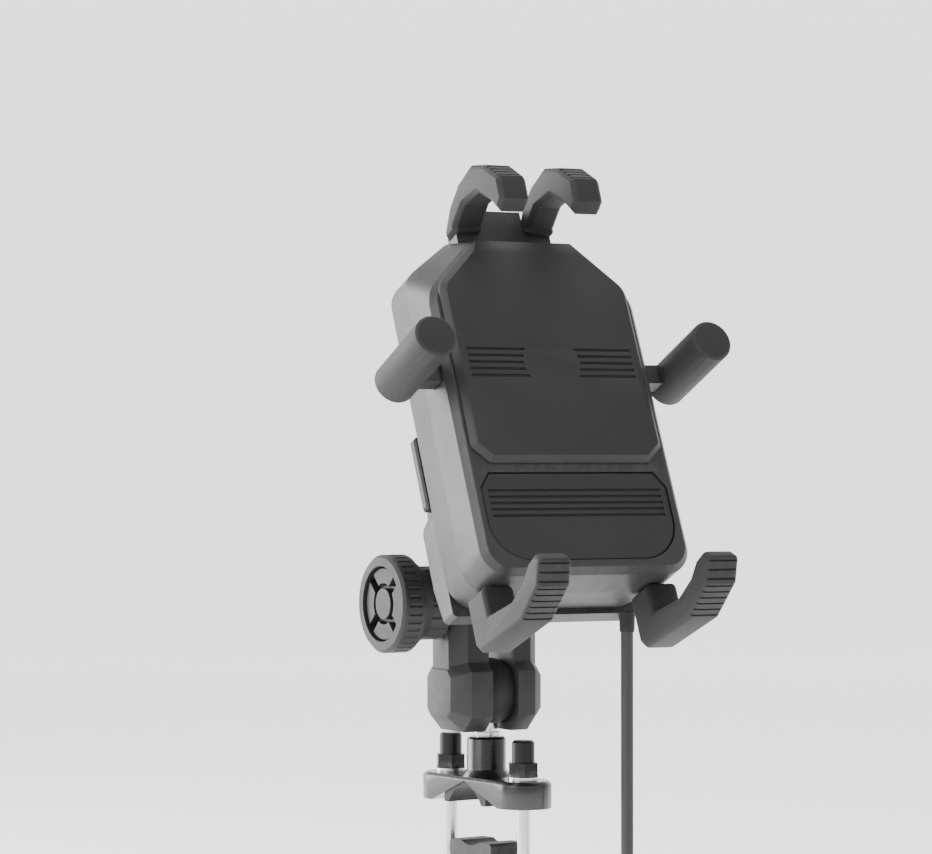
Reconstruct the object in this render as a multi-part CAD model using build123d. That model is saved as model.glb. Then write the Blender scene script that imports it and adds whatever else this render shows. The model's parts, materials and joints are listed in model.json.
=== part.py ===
"""Handlebar mount for a phone: a U-bolt bar clamp, a double-socket arm between two balls,
and a wireless-charging holder head with sliding side arms and a sliding top jaw.

Millimetres. Origin: centre of the handlebar at the clamp. +X along the bar to the rider's
right, +Y forward (away from the rider), +Z up. The phone's side of the head faces -Y.
"""
from build123d import *
import math
import os

# ---------------------------------------------------------------- driving dimensions
# handlebar clamp
BAR_R = 11.1                # 22.2 mm handlebar
PLATE_HALF_X = 10.5
NUT_Y = 23.0                # half the spacing of the U-bolt's legs
PLATE_HALF_Y = NUT_Y + 10.5
PLATE_BOTTOM = 4.5
PLATE_TOP = 14.5
ROD_R = 2.5                 # M5 U-bolt
V_HALF_ANGLE = 67.6         # each V face, measured from the vertical
PAD_THICK = 1.0
PILLAR_R = 7.3
PILLAR_TOP = 29.2
LEG_BEND_Z = -11.0          # where the U-bolt's legs start to bend

# balls and arm
BALL_R = 12.7               # 1 inch ball
BALL_CORE_R = 9.5
SOCKET_R = BALL_R + 0.25
NECK_R = 4.1
COLLAR_R = 5.1              # clears the gap between the arm's halves
LOWER_BALL_Z = 46.0
ARM_LENGTH = 71.0           # from ball centre to ball centre
ARM_YAW = -6.0
ARM_LEFT_X = 20.5           # outer faces of the knob-side half and of the bolt-head half
ARM_RIGHT_X = 18.5
BOLT_Z = 33.6               # clamp bolt above the lower ball
GAP_HALF = 5.5              # half the gap between the arm's halves
SOCKET_HALF_Y = 14.5
SOCKET_HALF_Z = 14.25
SHAFT_HALF_Y = 11.3
ARM_CHAMFER = 5.9
BOLT_R = 4.0                # M8 clamp bolt
SOCKET_RELIEF_R = 5.0       # round relief at the pole of each socket
SPRING_POCKET_R = 6.6
KNOB_FACE = -45.0
KNOB_R = 18.1
KNOB_HUB_R = 13.6
FIT = 0.06                  # running clearance on a radius

# holder head, in the head's own frame: x across, y behind the front face, z up
HEAD_YAW = -9.74
HEAD_TILT = -24.97
BALL_DEPTH = 69.6
BALL_HEIGHT = -8.7
SHELL_HALF = 41.6
SHELL_BOTTOM = -66.0
NECK_HALF = 20.5
SHELL_FRONT = 3.0
SHELL_SPLIT = 22.0
REAR_BACK = 42.0
COVER_BACK = 53.0
WALL = 2.4
PLATE_THICK = 3.0
GROOVE_MID = 14.75
GROOVE_STEP = 2.65
ARM_Z = 14.2                # height of the side arms
ROLLER_X = 55.4
ROLLER_R = 7.8
ROLLER_FRONT = -21.2
ROLLER_REAR = 18.0
BAR_Y0 = 7.2                # side arms' bars, front and back faces
BAR_Y1 = 14.2
PINION_TEETH = 12
GEAR_MODULE = 1.0
JAW_Y0 = 15.2
JAW_Y1 = 22.6
JAW_HALF = 19.4
JAW_BOTTOM = 28.0
JAW_TOP = 79.0
CLAW_X = 15.0
FOOT_X = 32.8

# release button on the left edge of the rear cover
BUTTON_X = -38.6
BUTTON_Y0 = 43.3
BUTTON_Y1 = 47.7
BUTTON_Z0 = -22.8
BUTTON_Z1 = 5.2
BUTTON_Y = 45.5
BUTTON_Z = -9.0

# captive charging lead
LEAD_R = 2.3
COIL_MEAN_R = 27.0
COIL_HALF_RADIAL = 5.2
COIL_HALF_AXIAL = 10.0

UPPER_BALL_Z = LOWER_BALL_Z + ARM_LENGTH
ARM = Pos(0, 0, LOWER_BALL_Z) * Rot(Z=ARM_YAW)
HEAD = Pos(0, 0, UPPER_BALL_Z) * Rot(Z=HEAD_YAW) * Rot(X=HEAD_TILT) * Pos(0, -BALL_DEPTH, -BALL_HEIGHT)

STANDING = (Align.CENTER, Align.CENTER, Align.MIN)
PARTS = {}


def keep(name, shape, place=None):
    """Places a finished piece and files it under its node name."""
    PARTS[name] = place * shape if place is not None else shape


def box(x0, x1, y0, y1, z0, z1):
    return Pos((x0 + x1) / 2, (y0 + y1) / 2, (z0 + z1) / 2) * Box(x1 - x0, y1 - y0, z1 - z0)


def rod_x(radius, x0, x1, y=0.0, z=0.0):
    return Pos((x0 + x1) / 2, y, z) * Rot(Y=90) * Cylinder(radius, x1 - x0)


def rod_y(radius, y0, y1, x=0.0, z=0.0):
    return Pos(x, (y0 + y1) / 2, z) * Rot(X=90) * Cylinder(radius, y1 - y0)


def rod_z(radius, z0, z1, x=0.0, y=0.0):
    return Pos(x, y, (z0 + z1) / 2) * Cylinder(radius, z1 - z0)


def polygon(points):
    """A closed outline whose normal points up, whichever way round its points are listed."""
    pairs = zip(points, points[1:] + points[:1])
    twice_area = sum(ax * by - bx * ay for (ax, ay), (bx, by) in pairs)
    ordered = points if twice_area > 0 else points[::-1]
    return Polygon(*ordered, align=None)


def face_xz(points, rounds=()):
    """A closed outline in x and z; rounds holds (corner number, radius)."""
    sketch = polygon(points)
    for number, radius in rounds:
        px, py = points[number]
        corner = min(sketch.vertices(), key=lambda v: (v.X - px) ** 2 + (v.Y - py) ** 2)
        sketch = fillet(corner, radius)
    return sketch


def slab_y(sketch, y0, y1):
    """An x-z outline made solid from depth y0 to depth y1."""
    return Pos(0, y0, 0) * extrude(Plane.XZ * sketch, amount=y1 - y0, dir=(0, 1, 0))


def slab_x(points, x0, x1):
    """A y-z outline made solid from x0 to x1."""
    return Pos(x0, 0, 0) * extrude(Plane.YZ * polygon(points), amount=x1 - x0, dir=(1, 0, 0))


def mirror_x(shape):
    return mirror(shape, about=Plane.YZ)


def hex_x(across_flats, x0, x1):
    sketch = RegularPolygon(across_flats / 2, 6, major_radius=False)
    return Pos(x0, 0, 0) * extrude(Plane.YZ * sketch, amount=x1 - x0, dir=(1, 0, 0))


# ---------------------------------------------------------------- handlebar clamp
def make_base():
    apex = (BAR_R + PAD_THICK) / math.sin(math.radians(V_HALF_ANGLE))
    slope = 1 / math.tan(math.radians(V_HALF_ANGLE))
    v_half = (apex - PLATE_BOTTOM) / slope
    outline = SlotOverall(2 * PLATE_HALF_Y, 2 * PLATE_HALF_X, rotation=90)
    body = Pos(0, 0, PLATE_BOTTOM) * extrude(outline, amount=PLATE_TOP - PLATE_BOTTOM)
    body = chamfer(body.faces().sort_by(Axis.Z)[-1].edges(), 1.2)
    body += rod_z(PILLAR_R, PLATE_TOP - 1, PILLAR_TOP)
    body += Pos(0, 0, PLATE_TOP) * Cone(PILLAR_R + 2.2, PILLAR_R, 2.6, align=STANDING)
    notch = [(-v_half - 2, PLATE_BOTTOM - 2 * slope), (0, apex), (v_half + 2, PLATE_BOTTOM - 2 * slope)]
    v_notch = slab_x(notch, -20, 20)
    body -= v_notch
    for side in (-1, 1):
        body -= rod_z(ROD_R + 0.3, 0, 20, 0, side * NUT_Y)
    top_rim = body.edges().filter_by(GeomType.CIRCLE).sort_by(Axis.Z)[-1]
    body = chamfer(top_rim, 0.8)
    body -= rod_z(NECK_R + FIT, 17.0, PILLAR_TOP + 1)
    keep("base_plate", body)

    pad = slab_x([(-13.0, PLATE_BOTTOM), (13.0, PLATE_BOTTOM), (13.0, 14), (-13.0, 14)], -10, 10)
    pad = pad & v_notch
    pad -= rod_x(BAR_R, -20, 20)
    keep("saddle_pad", pad)

    legs = Polyline((0, -NUT_Y, 28.2), (0, -NUT_Y, LEG_BEND_Z))
    bend = ThreePointArc((0, -NUT_Y, LEG_BEND_Z), (0, 0, LEG_BEND_Z - NUT_Y), (0, NUT_Y, LEG_BEND_Z))
    rise = Line((0, NUT_Y, LEG_BEND_Z), (0, NUT_Y, 28.2))
    path = legs + bend + rise
    u_bolt = sweep(Plane((0, -NUT_Y, 28.2), z_dir=(0, 0, -1)) * Circle(ROD_R), path=path)
    keep("u_bolt", u_bolt)

    nuts = []
    washers = []
    for side in (-1, 1):
        y = side * NUT_Y
        nut = Pos(0, y, 15.8) * extrude(RegularPolygon(5.0, 6, major_radius=False), amount=5.2)
        nut += rod_z(4.2, 21.0, 29.2, 0, y)
        nut += rod_z(5.4, 15.8, 16.8, 0, y)
        rim = nut.edges().filter_by(GeomType.CIRCLE).sort_by(Axis.Z)[-1]
        nut = chamfer(rim, 0.7)
        nut -= rod_z(ROD_R + 0.02, 15, 28.22, 0, y)
        nuts.append(nut)
        washers.append(rod_z(5.6, PLATE_TOP, 15.8, 0, y) - rod_z(ROD_R + 0.3, 14, 17, 0, y))
    keep("cap_nuts", Compound(children=nuts))
    keep("nut_washers", Compound(children=washers))

    inner = NUT_Y - ROD_R
    saddle = rod_x(inner + 1.0, -7.5, 7.5, 0, LEG_BEND_Z)
    saddle &= box(-7.5, 7.5, -13, 13, -40, -9.6)
    saddle = chamfer(saddle.edges().filter_by(Axis.X), 1.0)
    saddle -= rod_x(BAR_R, -20, 20)
    saddle -= u_bolt
    keep("lower_saddle", saddle)


# ---------------------------------------------------------------- ball studs
def make_ball(collar_z, shank_to, name_core, name_ball, place, flange_z=None):
    """A rubber-covered ball on a neck with a collar. The neck leaves the ball along -Z of place."""
    core = Sphere(BALL_CORE_R) + rod_z(NECK_R, -shank_to, 0)
    core += rod_z(COLLAR_R, collar_z - 1.2, collar_z)
    if flange_z is not None:
        core += rod_z(9.0, flange_z, flange_z + 1.6)
    cover = Sphere(BALL_R) - Sphere(BALL_CORE_R) - rod_z(NECK_R + 1.2, -20, 0)
    keep(name_core, core, place)
    keep(name_ball, cover, place)


# ---------------------------------------------------------------- double-socket arm
def socket_head(outer):
    """One octagonal socket head of an arm half, faceted towards its outer face."""
    side, end, cut = SOCKET_HALF_Y, SOCKET_HALF_Z, ARM_CHAMFER
    quarter = [(side, end - cut), (side - cut, end)]
    octagon = quarter + [(-y, z) for y, z in reversed(quarter)]
    octagon += [(-y, -z) for y, z in octagon]
    straight = outer - ARM_CHAMFER - GAP_HALF
    outline = Plane.YZ * polygon(octagon)
    head = Pos(GAP_HALF, 0, 0) * extrude(outline, amount=straight)
    return head + Pos(GAP_HALF + straight, 0, 0) * extrude(outline, amount=ARM_CHAMFER, taper=44)


def arm_half(outer):
    """One half of the arm on the +X side of its parting plane, out to the face at outer."""
    shaft_face = outer - 0.8
    shaft = box(GAP_HALF, shaft_face, -SHAFT_HALF_Y, SHAFT_HALF_Y, 8, ARM_LENGTH - 8)
    far_edges = [edge for edge in shaft.edges().filter_by(Axis.Z) if edge.center().X > shaft_face - 1]
    half = chamfer(far_edges, ARM_CHAMFER - 0.6)
    for height in (0, ARM_LENGTH):
        half += Pos(0, 0, height) * socket_head(outer)
    for height in (0, ARM_LENGTH):
        half -= Pos(0, 0, height) * Rot(Y=90) * Sphere(SOCKET_R)
        half -= rod_x(SOCKET_RELIEF_R, 0, SOCKET_R + 1.4, 0, height)
    half -= rod_x(BOLT_R + FIT, 0, 30, 0, BOLT_Z)
    half -= rod_x(SPRING_POCKET_R, 0, GAP_HALF + 3.0, 0, BOLT_Z)
    return half


def make_arm():
    pocket_floor = ARM_RIGHT_X - 5.4
    head_pocket = Pos(0, 0, BOLT_Z) * hex_x(13.3, pocket_floor, ARM_RIGHT_X + 3)
    keep("arm_right", arm_half(ARM_RIGHT_X) - head_pocket, ARM)
    keep("arm_left", mirror_x(arm_half(ARM_LEFT_X)), ARM)
    bolt = rod_x(BOLT_R, -38.0, pocket_floor + 0.1, 0, BOLT_Z)
    bolt += Pos(0, 0, BOLT_Z) * hex_x(13.0, pocket_floor, ARM_RIGHT_X - 0.3)
    bolt -= Pos(0, 0, BOLT_Z) * hex_x(5.0, ARM_RIGHT_X - 3.3, ARM_RIGHT_X + 1)
    keep("arm_bolt", bolt, ARM)

    wire = 0.7
    length = 2 * GAP_HALF + 5.6
    turns = 5
    pitch = (length - 2 * wire) / turns
    helix = Helix(pitch=pitch, height=length - 2 * wire, radius=5.4)
    start = Plane(origin=helix @ 0, z_dir=helix % 0)
    spring = sweep(start * Circle(wire), path=helix, is_frenet=True)
    keep("arm_spring", Pos(-length / 2 + wire, 0, BOLT_Z) * Rot(Y=90) * spring, ARM)


def make_knob():
    washer_face = -ARM_LEFT_X - 1.2
    washer = rod_x(10.5, washer_face, -ARM_LEFT_X, 0, BOLT_Z) - rod_x(BOLT_R + 0.3, -30, 0, 0, BOLT_Z)
    keep("knob_washer", washer, ARM)
    back = washer_face - 0.3
    ring_back = KNOB_FACE + 10.3
    insert_end = KNOB_FACE + 5.6
    at_bolt = Pos(0, 0, BOLT_Z)
    body = rod_x(KNOB_HUB_R, ring_back, back, 0, BOLT_Z)
    for index in range(18):
        body -= at_bolt * Rot(X=index * 20) * rod_x(1.0, ring_back - 1, back + 1, KNOB_HUB_R + 0.5, 0)
    ring = rod_x(KNOB_R, KNOB_FACE, ring_back, 0, BOLT_Z)
    ring = chamfer(ring.edges().filter_by(GeomType.CIRCLE), 1.1)
    for index in range(36):
        notch = rod_x(0.75, KNOB_FACE + 2.4, ring_back - 2.4, KNOB_R + 0.35, 0)
        ring -= at_bolt * Rot(X=index * 10) * notch
    body += ring
    flare = Cone(KNOB_R - 1.1, KNOB_HUB_R, 4.6, align=STANDING)
    body += Pos(ring_back, 0, BOLT_Z) * Rot(Y=90) * flare
    body -= rod_x(KNOB_R - 4.2, KNOB_FACE - 1, KNOB_FACE + 4.2, 0, BOLT_Z)
    body += rod_x(5.7, KNOB_FACE + 1.0, KNOB_FACE + 6, 0, BOLT_Z)
    pads = rod_x(KNOB_R - 5.0, KNOB_FACE + 1.2, KNOB_FACE + 5, 0, BOLT_Z)
    pads -= rod_x(7.6, KNOB_FACE - 1, KNOB_FACE + 6, 0, BOLT_Z)
    for turn in (45, 135):
        pads -= at_bolt * Rot(X=turn) * box(KNOB_FACE - 1, KNOB_FACE + 6, -15, 15, -1.9, 1.9)
    body += pads
    body -= rod_x(6.8, insert_end, back + 1, 0, BOLT_Z)
    keep("knob", body, ARM)
    insert = rod_x(6.75, insert_end, back, 0, BOLT_Z) - rod_x(BOLT_R + FIT, insert_end + 0.8, 0, 0, BOLT_Z)
    keep("knob_insert", insert, ARM)


# ---------------------------------------------------------------- holder head
# each section of the case: depth, half width, half neck, top, shoulder and bottom heights, shoulder round
FRONT_SECTION = (SHELL_FRONT + 2.6, SHELL_HALF, NECK_HALF, 66.5, 45.4, SHELL_BOTTOM, 16.0)
MIDDLE_SECTION = (SHELL_SPLIT, SHELL_HALF, NECK_HALF, 74.5, 58.5, SHELL_BOTTOM, 14.0)
REAR_SECTION = (REAR_BACK, 38.3, 26.0, 72.5, 61.5, -64.0, 12.0)


def shell_outline(section, inset=0.0):
    """The case's outline at one section, with the same corners in the same order every time."""
    half = section[1] - inset
    neck = section[2] - inset * 0.4
    top = section[3] - inset
    shoulder = section[4] - inset * 0.6
    bottom = section[5] + inset
    points = [(-neck, top), (neck, top), (half, shoulder), (half, bottom), (-half, bottom), (-half, shoulder)]
    bottom_round = 10.5 - inset
    side_round = section[6]
    rounds = [(0, 6.0), (1, 6.0), (2, side_round), (5, side_round), (3, bottom_round), (4, bottom_round)]
    return face_xz(points, rounds)


def shell_loft(first, second, inset=0.0):
    """The case between two sections, straight from one outline to the next."""
    outlines = []
    for section in (first, second):
        outline = Plane.XZ * shell_outline(section, inset)
        outlines.append(Pos(0, section[0], 0) * outline.face())
    return loft(outlines, ruled=True)


def make_front():
    shell = shell_loft(FRONT_SECTION, MIDDLE_SECTION)
    nose = extrude(Plane.XZ * shell_outline(FRONT_SECTION), amount=2.6, taper=40)
    shell += Pos(0, SHELL_FRONT + 2.6, 0) * nose
    shell -= shell_loft(FRONT_SECTION, MIDDLE_SECTION, WALL)
    shell -= slab_y(lower_panel_outline(0.25), SHELL_FRONT - 1, SHELL_FRONT + 1.6)
    shell -= rod_y(25.3, 0, 10, 0, GROOVE_MID)
    for side in (-1, 1):
        x0, x1 = sorted((side * 36, side * 44))
        shell -= box(x0, x1, BAR_Y0 - 0.35, BAR_Y1 + 0.35, ARM_Z - 4.1, ARM_Z + 4.1)
    shell -= box(-JAW_HALF - 0.35, JAW_HALF + 0.35, JAW_Y0 - 0.35, SHELL_SPLIT + 1, 60, 80)
    shell += rod_y(2.4, SHELL_FRONT + 2.6, BAR_Y1 + 0.3, 0, ARM_Z)
    bridge = box(-31, 31, SHELL_FRONT + 2.6, BAR_Y0 - 0.4, ARM_Z - 5, ARM_Z + 5)
    for side in (-1, 1):
        x0, x1 = sorted((side * 25.7, side * 31))
        bridge += box(x0, x1, SHELL_FRONT + 1.8, BAR_Y0 - 0.4, ARM_Z - 5, ARM_Z + 5)
    shell += bridge
    for x, z in SCREW_SPOTS:
        shell += rod_y(3.2, SHELL_FRONT + 2.0, SHELL_SPLIT - 0.2, x, z)
        shell -= rod_y(1.3, 10, SHELL_SPLIT + 1, x, z)
    keep("front_shell", shell, HEAD)


SCREW_SPOTS = [(-33, -54), (33, -54), (-33.5, 40), (33.5, 40)]


def plate_outline():
    points = [(-19.5, 65.2), (19.5, 65.2), (38.3, 46.4), (38.3, -17.8), (31.9, -24.0),
              (-31.9, -24.0), (-38.3, -17.8), (-38.3, 46.4)]
    return face_xz(points, [(2, 9.0), (7, 9.0), (3, 2.0), (6, 2.0)])


def make_plate():
    bevel = 2.3
    plate = slab_y(plate_outline(), bevel, PLATE_THICK)
    plate += Pos(0, bevel, 0) * extrude(Plane.XZ * plate_outline(), amount=bevel, taper=42)
    plate -= slab_x([(-1, 56.6), (2.6, 66.5), (-1, 70)], -40, 40)
    for row in range(-2, 3):
        z = GROOVE_MID + row * GROOVE_STEP
        for side in (-1, 1):
            x0, x1 = sorted((side * 5, side * 33.2))
            groove = box(x0, x1, -1, 0.8, z - 0.6, z + 0.6)
            plate -= groove - rod_y(11.3, -2, 2, 0, GROOVE_MID)
    keep("upper_plate", plate, HEAD)


def lower_panel_outline(grow=0.0):
    points = [(-33.0 - grow, -27.4 + grow), (33.0 + grow, -27.4 + grow), (37.2 + grow, -33.2),
              (37.2 + grow, -61.0 - grow), (-37.2 - grow, -61.0 - grow), (-37.2 - grow, -33.2)]
    return face_xz(points, [(3, 15.0 + grow), (4, 15.0 + grow)])


def make_lower_panel():
    face = SHELL_FRONT + 0.45
    panel = slab_y(lower_panel_outline(), face, SHELL_FRONT + 1.6)
    panel = chamfer(panel.faces().sort_by(Axis.Y)[0].edges(), 0.4)
    for row in range(5):
        z = -34.2 - row * 2.43
        panel -= box(-34.6, 34.6, face - 1, face + 0.65, z - 0.55, z + 0.55)
    keep("lower_panel", panel, HEAD)


def cover_outline():
    points = [(34, 7), (35.5, 4), (35.5, -24), (37.6, -28), (37.6, -66)]
    points += [(-x, z) for x, z in reversed(points)]
    return face_xz(points, [(4, 2.0), (5, 2.0)])


def make_rear():
    outer = shell_loft(MIDDLE_SECTION, REAR_SECTION)
    outer = chamfer(outer.faces().sort_by(Axis.Y)[-1].edges(), 1.2)
    inner_rear = (REAR_BACK - WALL,) + REAR_SECTION[1:]
    shell = outer - shell_loft(MIDDLE_SECTION, inner_rear, WALL)
    shell -= box(-JAW_HALF - 0.35, JAW_HALF + 0.35, SHELL_SPLIT - 1, JAW_Y1 + 0.35, 55, 80)
    for x, z in SCREW_SPOTS:
        shell += rod_y(3.0, SHELL_SPLIT, REAR_BACK - 2, x, z)
        shell -= rod_y(1.7, SHELL_SPLIT - 1, REAR_BACK - 6, x, z)
        shell -= rod_y(2.3, REAR_BACK - 6, REAR_BACK + 1, x, z)
    for x, z in COVER_SCREWS:
        shell += rod_y(3.0, REAR_BACK - 7, REAR_BACK - 1, x, z)
        shell -= rod_y(1.55, REAR_BACK - 8, REAR_BACK + 1, x, z)
    shell -= rod_y(10.3, REAR_BACK - 5, REAR_BACK + 5, 0, BALL_HEIGHT)
    keep("rear_shell", shell, HEAD)

    cover = slab_y(cover_outline(), REAR_BACK, COVER_BACK)
    cover -= slab_x([(48.5, 9), (50.0, -24), (COVER_BACK, -30), (60, -30), (60, 9)], -45, 45)
    cover -= slab_x([(COVER_BACK, -52), (49.5, -67), (60, -67), (60, -52)], -45, 45)
    cover -= box(-22, 22, REAR_BACK - 1, 46, -62, 3)
    cover += rod_y(11, 44.2, 47, 0, BALL_HEIGHT)
    cover -= rod_y(COLLAR_R + FIT, 40, 60, 0, BALL_HEIGHT)
    for x, z in COVER_SCREWS:
        cover -= rod_y(1.7, 40, 60, x, z)
        cover -= rod_y(3.1, 46.0, 60, x, z)
    for row in range(4):
        z = -34 - row * 4.5
        cover -= box(-20, 20, COVER_BACK - 0.8, 60, z - 0.8, z + 0.8)
    cover -= box(-45, BUTTON_X + 8.8, BUTTON_Y0 - 0.25, BUTTON_Y1 + 0.25, BUTTON_Z0 - 0.25, BUTTON_Z1 + 0.25)
    cover -= rod_x(2.4, BUTTON_X + 7, BUTTON_X + 14.5, BUTTON_Y, BUTTON_Z)
    keep("rear_cover", cover, HEAD)


COVER_SCREWS = [(-26, -1), (26, -1), (-26, -50), (26, -50)]


def screw_y(radius, head_radius, y_tip, y_head, y_end, x, z):
    """A screw along y: shank from y_tip to y_head, then its head to y_end, with a hex recess."""
    screw = rod_y(radius, y_tip, y_head, x, z) + rod_y(head_radius, y_head, y_end, x, z)
    recess = Pos(x, y_end, z) * extrude(Plane.XZ * RegularPolygon(head_radius * 0.5, 6), amount=1.4)
    return screw - recess


def make_screws():
    case = [screw_y(1.25, 2.2, 12, REAR_BACK - 6, REAR_BACK - 4, x, z) for x, z in SCREW_SPOTS]
    keep("case_screws", Compound(children=case), HEAD)
    cover = [screw_y(1.5, 2.9, REAR_BACK - 6, 46.0, 47.8, x, z) for x, z in COVER_SCREWS]
    keep("cover_screws", Compound(children=cover), HEAD)


def make_electronics():
    coil = rod_y(22.0, 3.2, 4.6, 0, GROOVE_MID) - rod_y(10.0, 3, 5, 0, GROOVE_MID)
    keep("charging_coil", coil, HEAD)
    ferrite = rod_y(24.6, 4.65, 5.55, 0, GROOVE_MID)
    keep("ferrite_sheet", ferrite, HEAD)
    board = box(-30, 30, 25.5, 27.1, -48, -22)
    for x in (-18, 4, 17):
        board += box(x - 5, x + 5, 27.1, 29.4, -42, -32)
    keep("circuit_board", board, HEAD)


# ---------------------------------------------------------------- rack-driven side arms
def rack_teeth(x0, count, z_edge, up):
    """Trapezoid teeth along x that point up (+1) or down (-1) from z_edge."""
    pitch = math.pi * GEAR_MODULE
    teeth = None
    for index in range(count):
        x = x0 + index * pitch
        points = [(x - 0.6, z_edge - up * 0.4), (x + 0.6, z_edge - up * 0.4),
                  (x + 0.14, z_edge + up * 1.3), (x - 0.14, z_edge + up * 1.3)]
        tooth = slab_y(polygon(points), BAR_Y0 + 0.6, BAR_Y1 - 1.0)
        teeth = tooth if teeth is None else teeth + tooth
    return teeth


def make_side_arms():
    """The right arm's rack runs below the pinion and the left arm's above it."""
    pitch_r = PINION_TEETH * GEAR_MODULE / 2
    pitch = math.pi * GEAR_MODULE
    for name, side in (("left", -1), ("right", 1)):
        z_line = ARM_Z - side * pitch_r
        z_edge = z_line - side * 0.75
        x_out = side * ROLLER_X
        x0, x1 = sorted((side * 27.0, x_out))
        arm = box(x0, x1, BAR_Y0, BAR_Y1, ARM_Z - 3.7, ARM_Z + 3.7)
        r0, r1 = sorted((side * 32.0, -side * 15.0))
        z0, z1 = sorted((z_edge, z_edge - side * 2.6))
        arm += box(r0, r1, BAR_Y0, BAR_Y1, z0, z1)
        j0, j1 = sorted((side * 27.0, side * 32.0))
        w0, w1 = sorted((z_edge - side * 2.6, ARM_Z + side * 3.7))
        arm += box(j0, j1, BAR_Y0, BAR_Y1, w0, w1)
        first = -side * 4 * pitch
        count = 11
        start = first if side > 0 else first - (count - 1) * pitch
        arm += rack_teeth(start, count, z_edge, side)
        arm += rod_y(3.9, ROLLER_FRONT + 4, ROLLER_REAR - 3, x_out, ARM_Z)
        keep(name + "_arm", arm, HEAD)
        roller = rod_y(ROLLER_R, ROLLER_FRONT, ROLLER_REAR, x_out, ARM_Z)
        roller = chamfer(roller.edges().filter_by(GeomType.CIRCLE), 0.9)
        passage = sorted((side * 40.0, x_out))
        roller -= box(passage[0], passage[1], BAR_Y0, BAR_Y1, ARM_Z - 3.7, ARM_Z + 3.7)
        roller -= rod_y(3.9, ROLLER_FRONT + 4, ROLLER_REAR - 3, x_out, ARM_Z)
        keep(name + "_roller", roller, HEAD)

    pinion = rod_y(pitch_r - 1.25, BAR_Y0 + 0.6, BAR_Y1 - 1.0, 0, ARM_Z)
    tooth = slab_y(polygon([(-0.66, 4.2), (0.66, 4.2), (0.18, 6.6), (-0.18, 6.6)]),
                   BAR_Y0 + 0.6, BAR_Y1 - 1.0)
    for index in range(PINION_TEETH):
        turn = (index + 0.5) * 360 / PINION_TEETH
        pinion += Pos(0, 0, ARM_Z) * Rot(Y=turn) * tooth
    pinion -= rod_y(2.4 + FIT, 0, 20, 0, ARM_Z)
    keep("pinion", pinion, HEAD)


# ---------------------------------------------------------------- top jaw and feet
CLAW = [(21.5, 75.0), (21.5, 78.5), (14.0, 85.6), (4.0, 90.2), (-7.0, 91.4), (-18.0, 85.4), (-26.0, 76.5),
        (-25.5, 67.5), (-20.5, 64.8), (-16.0, 71.5), (-8.0, 79.5), (4.0, 81.0), (12.8, 77.0), (12.8, 75.0)]
CLAW_CORE = [(18.5, 74.0), (18.5, 78.2), (12.5, 83.0), (2.0, 87.3), (-8.0, 88.4), (-15.0, 84.2),
             (-12.6, 82.0), (-7.0, 84.3), (2.0, 84.8), (10.2, 81.4), (15.6, 77.2), (15.6, 74.0)]
FOOT = [(13.5, -66.3), (13.5, -77.0), (-4.0, -79.5), (-15.5, -76.5), (-21.5, -72.5), (-27.5, -71.6),
        (-31.0, -75.0), (-25.5, -83.0), (-9.0, -89.2), (24.5, -87.0), (27.5, -83.5), (27.5, -66.3)]


def make_jaw():
    slab = box(-JAW_HALF, JAW_HALF, JAW_Y0, JAW_Y1, JAW_BOTTOM, JAW_TOP)
    slab = chamfer(slab.edges().filter_by(Axis.Y), 2.5)
    slab += box(-CLAW_X + 6.2, CLAW_X - 6.2, JAW_Y0, JAW_Y1, JAW_TOP - 3, JAW_TOP + 6)
    slab -= box(-8, 8, JAW_Y0 + 1.8, JAW_Y1 + 1, JAW_BOTTOM - 1, 62)
    for side in (-1, 1):
        slab += slab_x(CLAW_CORE, side * CLAW_X - 4, side * CLAW_X + 4)
    keep("top_jaw", slab, HEAD)
    for name, side in (("left", -1), ("right", 1)):
        pad = slab_x(CLAW, side * CLAW_X - 6.0, side * CLAW_X + 6.0)
        ends = pad.faces().sort_by(Axis.X)
        pad = chamfer(ends[0].edges() + ends[-1].edges(), 1.6)
        keep(name + "_claw_pad", pad - slab, HEAD)


def make_feet():
    for name, side in (("left", -1), ("right", 1)):
        centre = side * FOOT_X
        core = box(centre - 4, centre + 4, 16.5, 24.5, -84.5, -66.0)
        core += box(centre - 4, centre + 4, -6, 24.5, -84.9, -81.2)
        keep(name + "_foot", core, HEAD)
        pad = slab_x(FOOT, centre - 6.4, centre + 6.4)
        ends = pad.faces().sort_by(Axis.X)
        pad = chamfer(ends[0].edges() + ends[-1].edges(), 1.3)
        keep(name + "_foot_pad", pad - core, HEAD)


def make_button():
    button = box(BUTTON_X, BUTTON_X + 7.4, BUTTON_Y0, BUTTON_Y1, BUTTON_Z0, BUTTON_Z1)
    button = chamfer(button.faces().sort_by(Axis.X)[0].edges(), 0.8)
    keep("release_button", button, HEAD)
    spring = rod_x(1.9, BUTTON_X + 7.45, BUTTON_X + 14.45, BUTTON_Y, BUTTON_Z)
    spring -= rod_x(1.2, BUTTON_X + 7, BUTTON_X + 15, BUTTON_Y, BUTTON_Z)
    keep("button_spring", spring, HEAD)


# ---------------------------------------------------------------- captive lead
GLAND_X = 34.2              # where the lead leaves the rear cover's bottom face
GLAND_Y = 44.6
GLAND_LENGTH = 6.0
LAYER_STEP = 2 * LEAD_R + 0.1
COIL_INNER_R = COIL_MEAN_R - LAYER_STEP / 2
COIL_OUTER_R = COIL_MEAN_R + LAYER_STEP / 2
COIL_Z = -50.0
LEAD_END_Z = COIL_Z + 12.0


def lead_route():
    """Plumb down from the gland to the side of the hanging coil."""
    foot = (HEAD * Pos(GLAND_X, GLAND_Y, SHELL_BOTTOM)).position
    tip = Vector(foot.X, foot.Y, foot.Z - GLAND_LENGTH)
    return [tip, Vector(tip.X, tip.Y, LEAD_END_Z)]


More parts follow.
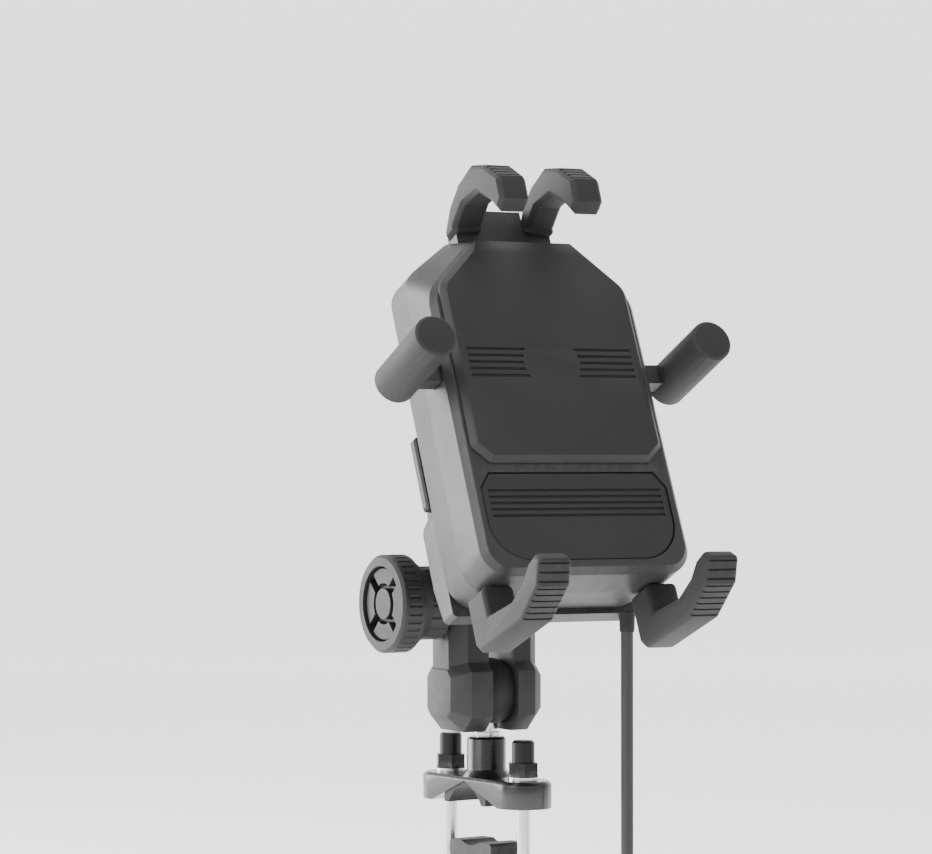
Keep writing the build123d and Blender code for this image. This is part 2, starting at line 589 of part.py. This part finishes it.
def make_lead():
    tip, end = lead_route()
    gland = Pos(tip.X, tip.Y, tip.Z) * Cone(2.7, 3.2, 2 * GLAND_LENGTH, align=STANDING)
    below_case = HEAD * box(0, 60, 20, 70, -95, SHELL_BOTTOM - 0.02)
    keep("cable_gland", gland & below_case)

    tube = rod_z(LEAD_R, end.Z, tip.Z, tip.X, tip.Y)
    print("lead points", [[round(c, 2) for c in tuple(p)] for p in (tip, end)])

    centre = Vector(end.X + 1.5 * LAYER_STEP, end.Y + COIL_INNER_R, COIL_Z)
    at_coil = Pos(centre.X, centre.Y, centre.Z)
    section = Pos(COIL_MEAN_R, 0) * RectangleRounded(2 * COIL_HALF_RADIAL, 2 * COIL_HALF_AXIAL, 2.2)
    ring = at_coil * Rot(Y=90) * revolve(Plane.XZ * section, axis=Axis.Z)
    keep("cable_coil", ring)
    keep("cable_lead", tube - ring)

    tie = box(-COIL_HALF_AXIAL - 1.2, COIL_HALF_AXIAL + 1.2, COIL_MEAN_R - COIL_HALF_RADIAL - 1.2,
              COIL_MEAN_R + COIL_HALF_RADIAL + 1.2, -4.5, 4.5)
    tie = fillet(tie.edges().filter_by(Axis.Z), 2.0)
    keep("coil_tie", at_coil * tie - ring)

    plug_x = end.X + LAYER_STEP
    plug_y = centre.Y - COIL_OUTER_R
    at_plug = Pos(plug_x, plug_y, COIL_Z - 30)
    plug = at_plug * Cone(4.2, 3.0, 22, align=STANDING)
    body = extrude(RectangleRounded(15.8, 8.0, 2.4), amount=-22)
    body = chamfer(body.faces().sort_by(Axis.Z)[-1].edges(), 1.6)
    plug += at_plug * body
    shell = extrude(Rectangle(12.0, 4.5), amount=-12.5)
    shell -= Pos(0, 0, -1.5) * extrude(Rectangle(11.3, 3.8), amount=-12)
    keep("usb_plug", plug - ring)
    keep("usb_shell", at_plug * Pos(0, 0, -22) * shell)
    tongue = box(-5.0, 5.0, -1.7, -0.2, -11.5, -1.5)
    keep("usb_tongue", at_plug * Pos(0, 0, -22) * tongue)


def main():
    make_base()
    make_ball(-15.0, 28.0, "lower_stud", "lower_ball", Pos(0, 0, LOWER_BALL_Z))
    upper = HEAD * Pos(0, BALL_DEPTH, BALL_HEIGHT) * Rot(X=-90)
    make_ball(-22.0, 26.0, "upper_stud", "upper_ball", upper, flange_z=-27.3)
    make_arm()
    make_knob()
    make_front()
    make_plate()
    make_lower_panel()
    make_rear()
    make_screws()
    make_electronics()
    make_side_arms()
    make_jaw()
    make_feet()
    make_button()
    make_lead()
    os.makedirs("parts", exist_ok=True)
    for name, shape in PARTS.items():
        export_step(shape, "parts/" + name + ".step")


main()
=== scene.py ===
import json
import math

import bmesh
import bpy
from mathutils import Matrix, Vector


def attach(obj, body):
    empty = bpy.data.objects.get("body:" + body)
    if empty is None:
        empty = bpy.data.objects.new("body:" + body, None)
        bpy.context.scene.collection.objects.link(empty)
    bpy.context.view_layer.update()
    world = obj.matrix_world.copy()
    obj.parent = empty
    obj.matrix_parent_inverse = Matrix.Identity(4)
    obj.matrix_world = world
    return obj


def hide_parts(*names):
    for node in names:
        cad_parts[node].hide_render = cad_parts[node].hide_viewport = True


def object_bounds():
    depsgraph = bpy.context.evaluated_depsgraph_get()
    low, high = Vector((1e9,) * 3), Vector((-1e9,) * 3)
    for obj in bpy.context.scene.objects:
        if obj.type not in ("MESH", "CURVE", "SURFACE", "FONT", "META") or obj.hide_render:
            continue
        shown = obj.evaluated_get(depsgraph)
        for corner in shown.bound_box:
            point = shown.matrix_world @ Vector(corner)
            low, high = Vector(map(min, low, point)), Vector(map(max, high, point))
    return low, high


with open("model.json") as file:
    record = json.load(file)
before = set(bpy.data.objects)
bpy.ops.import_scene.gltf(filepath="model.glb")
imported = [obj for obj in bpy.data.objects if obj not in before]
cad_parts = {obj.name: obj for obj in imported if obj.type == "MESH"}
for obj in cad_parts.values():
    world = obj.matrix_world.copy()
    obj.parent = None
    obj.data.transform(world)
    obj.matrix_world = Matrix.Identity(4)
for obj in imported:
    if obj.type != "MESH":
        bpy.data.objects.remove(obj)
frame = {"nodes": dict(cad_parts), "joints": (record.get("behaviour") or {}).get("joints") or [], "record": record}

CAD_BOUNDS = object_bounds()
MM = 0.001

# ---------------------------------------------------------------- camera, lights, floor
VIEW_AZIMUTH = math.radians(35.81)
VIEW_ELEVATION = math.radians(-0.566)
CAMERA_AIM = Vector((-0.00944, 0.0, 0.14483))
CAMERA_DISTANCE = 1.2319
LENS_MM = 127.6
SENSOR_WIDTH_MM = 36.0
CLIP_NEAR, CLIP_FAR = 0.05, 50.0
WORLD_STRENGTH = 0.75
LIGHT_AIM = (0.0, 0.0, 0.12)
# name: place in metres, width of its square in metres, power in watts
LIGHTS = {
    "rim_left": ((-0.75, 1.25, 0.45), 1.0, 34.0),
    "left_soft": ((-1.5, -0.1, 0.7), 1.0, 15.0),
    "top_soft": ((0.1, 0.1, 1.5), 1.2, 12.0),
}
# the floor lies a little below the model; it and its wall are measured along the camera's heading, in metres
FLOOR_Z = CAD_BOUNDS[0][2] - 0.03
FLOOR_NEAR, FLOOR_FAR = -3.5, 3.2
FLOOR_HALF_WIDTH = 6.0
WALL_RADIUS = 1.6
WALL_STEPS = 16
WALL_TOP = 3.5
BACKDROP_GLOW = 1.1


def make_camera():
    """The camera, CAMERA_DISTANCE back from the point that it looks at."""
    back = Vector((-math.sin(VIEW_AZIMUTH) * math.cos(VIEW_ELEVATION),
                   -math.cos(VIEW_AZIMUTH) * math.cos(VIEW_ELEVATION),
                   math.sin(VIEW_ELEVATION)))
    right = Vector((math.cos(VIEW_AZIMUTH), -math.sin(VIEW_AZIMUTH), 0.0))
    up = back.cross(right)
    data = bpy.data.cameras.new("camera")
    data.lens = LENS_MM
    data.sensor_width = SENSOR_WIDTH_MM
    data.sensor_fit = "HORIZONTAL"
    data.clip_start = CLIP_NEAR
    data.clip_end = CLIP_FAR
    camera = bpy.data.objects.new("camera", data)
    camera.matrix_world = Matrix((right, up, back)).transposed().to_4x4()
    camera.location = CAMERA_AIM + back * CAMERA_DISTANCE
    bpy.context.scene.collection.objects.link(camera)
    bpy.context.scene.camera = camera


def area_light(name, place, size, power):
    data = bpy.data.lights.new(name, "AREA")
    data.size = size
    data.energy = power
    light = bpy.data.objects.new(name, data)
    light.location = place
    light.rotation_euler = (Vector(place) - Vector(LIGHT_AIM)).to_track_quat("Z", "Y").to_euler()
    bpy.context.scene.collection.objects.link(light)


def make_lights():
    world = bpy.data.worlds.new("studio")
    world.use_nodes = True
    background = world.node_tree.nodes["Background"]
    background.inputs["Color"].default_value = (1.0, 1.0, 1.0, 1.0)
    background.inputs["Strength"].default_value = WORLD_STRENGTH
    bpy.context.scene.world = world
    for name, (place, size, power) in LIGHTS.items():
        area_light(name, place, size, power)


def make_floor():
    """A pale floor that curves up into a far wall, so no horizon shows from the front."""
    profile = [(FLOOR_NEAR, 0.0), (FLOOR_FAR, 0.0)]
    for step in range(1, WALL_STEPS + 1):
        angle = math.pi / 2 * step / WALL_STEPS
        profile.append((FLOOR_FAR + WALL_RADIUS * math.sin(angle), WALL_RADIUS * (1 - math.cos(angle))))
    profile.append((FLOOR_FAR + WALL_RADIUS, WALL_TOP))
    along = Vector((math.sin(VIEW_AZIMUTH), math.cos(VIEW_AZIMUTH), 0.0))
    across = Vector((math.cos(VIEW_AZIMUTH), -math.sin(VIEW_AZIMUTH), 0.0))
    mesh = bpy.data.meshes.new("floor")
    verts = []
    for distance, rise in profile:
        for side in (-FLOOR_HALF_WIDTH, FLOOR_HALF_WIDTH):
            verts.append(tuple(along * distance + across * side + Vector((0, 0, FLOOR_Z + rise))))
    faces = [(2 * i, 2 * i + 1, 2 * i + 3, 2 * i + 2) for i in range(len(profile) - 1)]
    mesh.from_pydata(verts, [], faces)
    mesh.shade_smooth()
    floor = link_mesh("floor", mesh)
    material, _, shader = new_material("floor_paint")
    shader.inputs["Base Color"].default_value = (0.93, 0.93, 0.93, 1.0)
    shader.inputs["Roughness"].default_value = 0.9
    shader.inputs["Specular IOR Level"].default_value = 0.1
    shader.inputs["Emission Color"].default_value = (1.0, 1.0, 1.0, 1.0)
    shader.inputs["Emission Strength"].default_value = BACKDROP_GLOW
    mesh.materials.append(material)


# ---------------------------------------------------------------- materials
NOISE_SPAN = (0.3, 0.7)          # where most of a noise's values lie
CLOUD_SCALE, SMUDGE_SCALE, SCUFF_SCALE, BRUSH_SCALE = 38.0, 90.0, 320.0, 900.0
BRUSH_STRETCH = (1.0, 1.0, 0.05)
BRUSH_DEPTH_MM = 0.004
COATED_ROUND_MM = 0.35           # how far shading alone softens a corner
METAL_ROUND_MM = 0.2
BEVEL_SAMPLES = 4


def new_material(name):
    material = bpy.data.materials.new(name)
    material.use_nodes = True
    return material, material.node_tree, material.node_tree.nodes["Principled BSDF"]


def noise(tree, coords, scale, detail, roughness=0.55, stretch=None):
    """A 3-D noise texture in object metres; stretch scales it along x, y and z."""
    source = coords
    if stretch is not None:
        mapping = tree.nodes.new("ShaderNodeMapping")
        mapping.inputs["Scale"].default_value = stretch
        tree.links.new(coords, mapping.inputs["Vector"])
        source = mapping.outputs["Vector"]
    node = tree.nodes.new("ShaderNodeTexNoise")
    node.inputs["Scale"].default_value = scale
    node.inputs["Detail"].default_value = detail
    node.inputs["Roughness"].default_value = roughness
    tree.links.new(source, node.inputs["Vector"])
    return node.outputs["Fac"]


def ramp(tree, value, low, high, out_low, out_high):
    """Maps low to high onto out_low to out_high."""
    node = tree.nodes.new("ShaderNodeMapRange")
    node.inputs["From Min"].default_value = low
    node.inputs["From Max"].default_value = high
    node.inputs["To Min"].default_value = out_low
    node.inputs["To Max"].default_value = out_high
    tree.links.new(value, node.inputs["Value"])
    return node.outputs["Result"]


def mix_colour(tree, factor, first, second):
    """Mixes two colours, each one a tuple or a socket."""
    node = tree.nodes.new("ShaderNodeMix")
    node.data_type = "RGBA"
    tree.links.new(factor, node.inputs["Factor"])
    for socket, value in (("A", first), ("B", second)):
        target = [s for s in node.inputs if s.name == socket and s.type == "RGBA"][0]
        if isinstance(value, tuple):
            target.default_value = value + (1.0,)
        else:
            tree.links.new(value, target)
    return [s for s in node.outputs if s.type == "RGBA"][0]


def uneven_roughness(tree, shader, slow, low, high, fine, swing):
    """Roughness that drifts from low to high with a slow noise, give or take swing with a fine one."""
    add = tree.nodes.new("ShaderNodeMath")
    tree.links.new(ramp(tree, slow, *NOISE_SPAN, low, high), add.inputs[0])
    tree.links.new(ramp(tree, fine, *NOISE_SPAN, -swing, swing), add.inputs[1])
    tree.links.new(add.outputs[0], shader.inputs["Roughness"])


def relief(tree, shader, height, depth_mm, round_mm):
    """Raises a noise as fine relief, over corners that are softened by shading."""
    bevel = tree.nodes.new("ShaderNodeBevel")
    bevel.samples = BEVEL_SAMPLES
    bevel.inputs["Radius"].default_value = round_mm * MM
    bump = tree.nodes.new("ShaderNodeBump")
    bump.inputs["Strength"].default_value = 1.0
    bump.inputs["Distance"].default_value = depth_mm * MM
    tree.links.new(height, bump.inputs["Height"])
    tree.links.new(bevel.outputs["Normal"], bump.inputs["Normal"])
    tree.links.new(bump.outputs["Normal"], shader.inputs["Normal"])


def coated(name, colour, worn, rough, grain, grain_depth, metallic=0.0, specular=0.5, edge=0.35,
           sheen=0.0, coat=0.0, coat_rough=0.2):
    """A moulded or painted surface: fine grain, cloudy roughness, paler worn edges, softened corners."""
    material, tree, shader = new_material(name)
    coords = tree.nodes.new("ShaderNodeTexCoord").outputs["Object"]
    shader.inputs["Metallic"].default_value = metallic
    shader.inputs["Specular IOR Level"].default_value = specular
    shader.inputs["Sheen Weight"].default_value = sheen
    shader.inputs["Sheen Roughness"].default_value = 0.6
    shader.inputs["Coat Weight"].default_value = coat
    shader.inputs["Coat Roughness"].default_value = coat_rough

    cloud = noise(tree, coords, CLOUD_SCALE, 4.0)
    fine = noise(tree, coords, grain, 2.0, 0.6)
    point = tree.nodes.new("ShaderNodeNewGeometry").outputs["Pointiness"]
    wear = ramp(tree, point, 0.53, 0.60, 0.0, edge)
    breakup = tree.nodes.new("ShaderNodeMath")
    breakup.operation = "MULTIPLY"
    tree.links.new(wear, breakup.inputs[0])
    scuffs = noise(tree, coords, SCUFF_SCALE, 4.0)
    tree.links.new(ramp(tree, scuffs, 0.38, 0.62, 0.2, 1.0), breakup.inputs[1])

    dark = tuple(c * 0.88 for c in colour)
    base = mix_colour(tree, ramp(tree, cloud, 0.35, 0.65, 0.0, 1.0), dark, colour)
    tree.links.new(mix_colour(tree, breakup.outputs[0], base, worn), shader.inputs["Base Color"])
    uneven_roughness(tree, shader, cloud, rough - 0.05, rough + 0.05, fine, 0.03)
    relief(tree, shader, fine, grain_depth, COATED_ROUND_MM)
    return material


def metal(name, colour, rough):
    """A bare metal with fine drawn lines and smudged roughness."""
    material, tree, shader = new_material(name)
    coords = tree.nodes.new("ShaderNodeTexCoord").outputs["Object"]
    shader.inputs["Metallic"].default_value = 1.0
    lines = noise(tree, coords, BRUSH_SCALE, 3.0, 0.6, BRUSH_STRETCH)
    smudge = noise(tree, coords, SMUDGE_SCALE, 4.0)
    dark = tuple(c * 0.8 for c in colour)
    tint = mix_colour(tree, ramp(tree, lines, *NOISE_SPAN, 0.0, 1.0), dark, colour)
    tree.links.new(tint, shader.inputs["Base Color"])
    uneven_roughness(tree, shader, smudge, rough - 0.05, rough + 0.08, lines, 0.04)
    relief(tree, shader, lines, BRUSH_DEPTH_MM, METAL_ROUND_MM)
    return material


def make_materials():
    """Each slot's finish: colour, colour of worn edges, roughness, grain's scale and its depth in mm."""
    return {
        "shell_plastic": coated("shell_plastic", (0.024, 0.024, 0.025), (0.07, 0.07, 0.073), 0.47,
                                2600.0, 0.030),
        "panel_plastic": coated("panel_plastic", (0.014, 0.014, 0.015), (0.05, 0.05, 0.053), 0.54,
                                3000.0, 0.026),
        "grip_plastic": coated("grip_plastic", (0.012, 0.012, 0.013), (0.06, 0.06, 0.063), 0.58,
                               2200.0, 0.030),
        "rubber": coated("rubber", (0.014, 0.014, 0.015), (0.045, 0.045, 0.048), 0.66, 1700.0, 0.040,
                         specular=0.35, sheen=0.05),
        "cable_jacket": coated("cable_jacket", (0.024, 0.024, 0.026), (0.05, 0.05, 0.053), 0.5, 1900.0, 0.02),
        "cast_black": coated("cast_black", (0.007, 0.007, 0.008), (0.10, 0.10, 0.105), 0.30, 1500.0, 0.030,
                             coat=0.4, coat_rough=0.15, edge=0.2),
        "satin_black": coated("satin_black", (0.012, 0.012, 0.013), (0.07, 0.07, 0.073), 0.55, 1600.0, 0.030,
                              edge=0.25),
        "black_zinc": coated("black_zinc", (0.012, 0.012, 0.013), (0.2, 0.2, 0.2), 0.34, 1300.0, 0.012,
                             metallic=0.6, edge=0.35),
        "stainless": metal("stainless", (0.72, 0.72, 0.73), 0.22),
        "brass": metal("brass", (0.72, 0.52, 0.22), 0.3),
        "copper": metal("copper", (0.70, 0.33, 0.16), 0.35),
        "ferrite": coated("ferrite", (0.05, 0.05, 0.055), (0.08, 0.08, 0.085), 0.7, 900.0, 0.02),
        "board": coated("board", (0.01, 0.09, 0.035), (0.05, 0.2, 0.1), 0.4, 1200.0, 0.01),
    }


def dress_cad_nodes(materials):
    """Gives every carried-over CAD node its slot's finish."""
    for row in frame["record"]["subparts"]:
        node = frame["nodes"][row["node"]]
        node.data.materials.clear()
        node.data.materials.append(materials[row["material_slot"]])


# ---------------------------------------------------------------- rounded and grooved pieces
# node: width of its rounded edges in mm, and how many faces round each one off
ROUNDED = {
    "left_claw_pad": (1.8, 3), "right_claw_pad": (1.8, 3),
    "left_foot_pad": (1.9, 3), "right_foot_pad": (1.9, 3),
    "left_roller": (1.3, 3), "right_roller": (1.3, 3),
    "arm_left": (0.7, 2), "arm_right": (0.7, 2),
    "base_plate": (0.6, 2), "upper_plate": (0.3, 2),
}
# outer curves of the hooks in the head's own frame, depth and height in mm, and the grooves across them
CLAW_CURVE = [(14.0, 85.6), (4.0, 90.2), (-7.0, 91.4), (-18.0, 85.4), (-26.0, 76.5)]
FOOT_CURVE = [(-9.0, -89.2), (-25.5, -83.0), (-31.0, -75.0)]
GROOVE_PITCH = 2.6
GROOVE_HALF_WIDTH = 0.35
GROOVE_DEPTH = 0.7
GROOVE_REACH_X = 42.0
MERGE_DISTANCE = 0.002 * MM
FLAT_ANGLE = math.radians(1.5)
CRISP_ANGLE = math.radians(30)
SMOOTH_ANGLE = math.radians(38)
# the pinion's place in the head's own frame
PINION_DEPTH, PINION_HEIGHT = 10 * MM, 14.2 * MM


def link_mesh(name, mesh):
    piece = bpy.data.objects.new(name, mesh)
    bpy.context.scene.collection.objects.link(piece)
    return piece


def head_frame():
    """The head's own axes and origin at rest, worked out from its joints."""
    joints = {joint["name"]: joint for joint in frame["joints"]}
    across, deep, up = (Vector(joints[name]["axis"]) for name in ("left_arm_slide", "head_spin", "jaw_slide"))
    origin = Vector(joints["pinion_turn"]["pos_m"]) - deep * PINION_DEPTH - up * PINION_HEIGHT
    return Matrix((across, deep, up)).transposed().to_4x4(), origin


def groove_cutter():
    """One box across the head for each groove of the claws and feet, all in a single mesh."""
    turn, origin = head_frame()
    work = bmesh.new()
    for curve in (CLAW_CURVE, FOOT_CURVE):
        for (y0, z0), (y1, z1) in zip(curve, curve[1:]):
            length = math.hypot(y1 - y0, z1 - z0)
            lean = math.atan2(z1 - z0, y1 - y0)
            count = int(length / GROOVE_PITCH)
            for index in range(count):
                share = (index + 0.5) / count
                centre = Vector((0.0, y0 + (y1 - y0) * share, z0 + (z1 - z0) * share)) * MM
                size = (GROOVE_REACH_X * 2 * MM, GROOVE_HALF_WIDTH * 2 * MM, GROOVE_DEPTH * 2 * MM)
                place = (Matrix.Translation(origin) @ turn @ Matrix.Translation(centre)
                         @ Matrix.Rotation(lean, 4, "X") @ Matrix.Diagonal(size).to_4x4())
                bmesh.ops.create_cube(work, size=1.0, matrix=place)
    mesh = bpy.data.meshes.new("groove_cutter")
    work.to_mesh(mesh)
    work.free()
    return link_mesh("groove_cutter", mesh)


def round_edges(mesh, width, segments):
    """Rounds every crisp edge of a mesh and smooths what curves gently."""
    work = bmesh.new()
    work.from_mesh(mesh)
    bmesh.ops.remove_doubles(work, verts=work.verts, dist=MERGE_DISTANCE)
    bmesh.ops.dissolve_limit(work, angle_limit=FLAT_ANGLE, verts=work.verts, edges=work.edges)
    crisp = [edge for edge in work.edges
             if len(edge.link_faces) == 2 and edge.calc_face_angle() > CRISP_ANGLE]
    bmesh.ops.bevel(work, geom=crisp, offset=width * MM, offset_type="OFFSET", segments=segments, profile=0.5,
                    affect="EDGES", clamp_overlap=True)
    for face in work.faces:
        face.smooth = True
    for edge in work.edges:
        edge.smooth = edge.calc_face_angle(0.0) < SMOOTH_ANGLE
    work.to_mesh(mesh)
    work.free()


def make_rounded(materials):
    """Stands a rounded copy in for each listed node, with grooves across the claws and feet."""
    slots = {row["node"]: row["material_slot"] for row in frame["record"]["subparts"]}
    bodies = frame["record"]["behaviour"]["bodies"]
    cutter = groove_cutter()
    for node, (width, segments) in ROUNDED.items():
        mesh = frame["nodes"][node].data.copy()
        mesh.name = node + "_rounded"
        mesh.materials.clear()
        mesh.materials.append(materials[slots[node]])
        round_edges(mesh, width, segments)
        piece = link_mesh(node + "_rounded", mesh)
        if node.endswith(("claw_pad", "foot_pad")):
            cut = piece.modifiers.new("grooves", "BOOLEAN")
            cut.operation = "DIFFERENCE"
            cut.solver = "EXACT"
            cut.object = cutter
            shown = piece.evaluated_get(bpy.context.evaluated_depsgraph_get())
            piece.data = bpy.data.meshes.new_from_object(shown)
            piece.modifiers.clear()
        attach(piece, next(body for body, members in bodies.items() if node in members))
        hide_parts(node)
    bpy.data.objects.remove(cutter)


# ---------------------------------------------------------------- captive lead
LEAD_DIAMETER = 4.6 * MM
LEAD_TIP = Vector((25.78, -51.96, 69.61)) * MM
COIL_CENTRE_Z = -50.0 * MM
COIL_MEAN_R = 27.0 * MM
LAYER_STEP = 4.7 * MM
INNER_TURNS = 4
OUTER_TURNS = 3
POINTS_PER_TURN = 16
CLIMB = 0.15                             # half of the stretch, in turns, that climbs to the outer layer
PLUMB_ABOVE_COIL = (60 * MM, 28 * MM, 10 * MM)
TAIL_BELOW_COIL = (4 * MM, 14 * MM)


def lead_points():
    """Out of the gland, plumb down, then round the coil: inner turns first, then outer ones back."""
    inner_r = COIL_MEAN_R - LAYER_STEP / 2
    outer_r = COIL_MEAN_R + LAYER_STEP / 2
    x0, y0 = LEAD_TIP.x, LEAD_TIP.y
    centre_y = y0 + inner_r
    plumb = [LEAD_TIP.z] + [COIL_CENTRE_Z + above for above in PLUMB_ABOVE_COIL]
    points = [Vector((x0, y0, height)) for height in plumb]
    total = (INNER_TURNS + OUTER_TURNS) * POINTS_PER_TURN
    for step in range(1, total):
        turn = step / POINTS_PER_TURN
        if turn <= INNER_TURNS - CLIMB:
            radius, column = inner_r, turn * (INNER_TURNS - 1) / INNER_TURNS
        elif turn < INNER_TURNS + CLIMB:
            share = (turn - INNER_TURNS + CLIMB) / (2 * CLIMB)
            radius, column = inner_r + share * (outer_r - inner_r), INNER_TURNS - 1.0
        else:
            radius = outer_r
            column = INNER_TURNS - 1.0 - (turn - INNER_TURNS - CLIMB) * (OUTER_TURNS - 1) / OUTER_TURNS
        angle = turn * 2 * math.pi
        # the control polygon stands a little outside the curve that it draws
        radius = radius / math.cos(math.pi / POINTS_PER_TURN) ** 2
        points.append(Vector((x0 + column * LAYER_STEP, centre_y - radius * math.cos(angle),
                              COIL_CENTRE_Z - radius * math.sin(angle))))
    end_x = x0 + LAYER_STEP
    end_y = centre_y - outer_r
    return points + [Vector((end_x, end_y, COIL_CENTRE_Z - below)) for below in TAIL_BELOW_COIL]


def make_lead(materials):
    """The captive lead as one smooth cord from the gland to the plug."""
    points = lead_points()
    data = bpy.data.curves.new("charging_lead", "CURVE")
    data.dimensions = "3D"
    spline = data.splines.new("NURBS")
    spline.points.add(len(points) - 1)
    for place, point in zip(points, spline.points):
        point.co = (place.x, place.y, place.z, 1.0)
    spline.order_u = 3
    spline.use_endpoint_u = True
    spline.resolution_u = 8
    data.bevel_depth = LEAD_DIAMETER / 2
    data.bevel_resolution = 6
    data.use_fill_caps = True
    data.materials.append(materials["cable_jacket"])
    lead = bpy.data.objects.new("charging_lead", data)
    bpy.context.scene.collection.objects.link(lead)
    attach(lead, "head")
    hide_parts("cable_lead", "cable_coil")


make_camera()
materials = make_materials()
make_lead(materials)
make_rounded(materials)
make_lights()
make_floor()
dress_cad_nodes(materials)
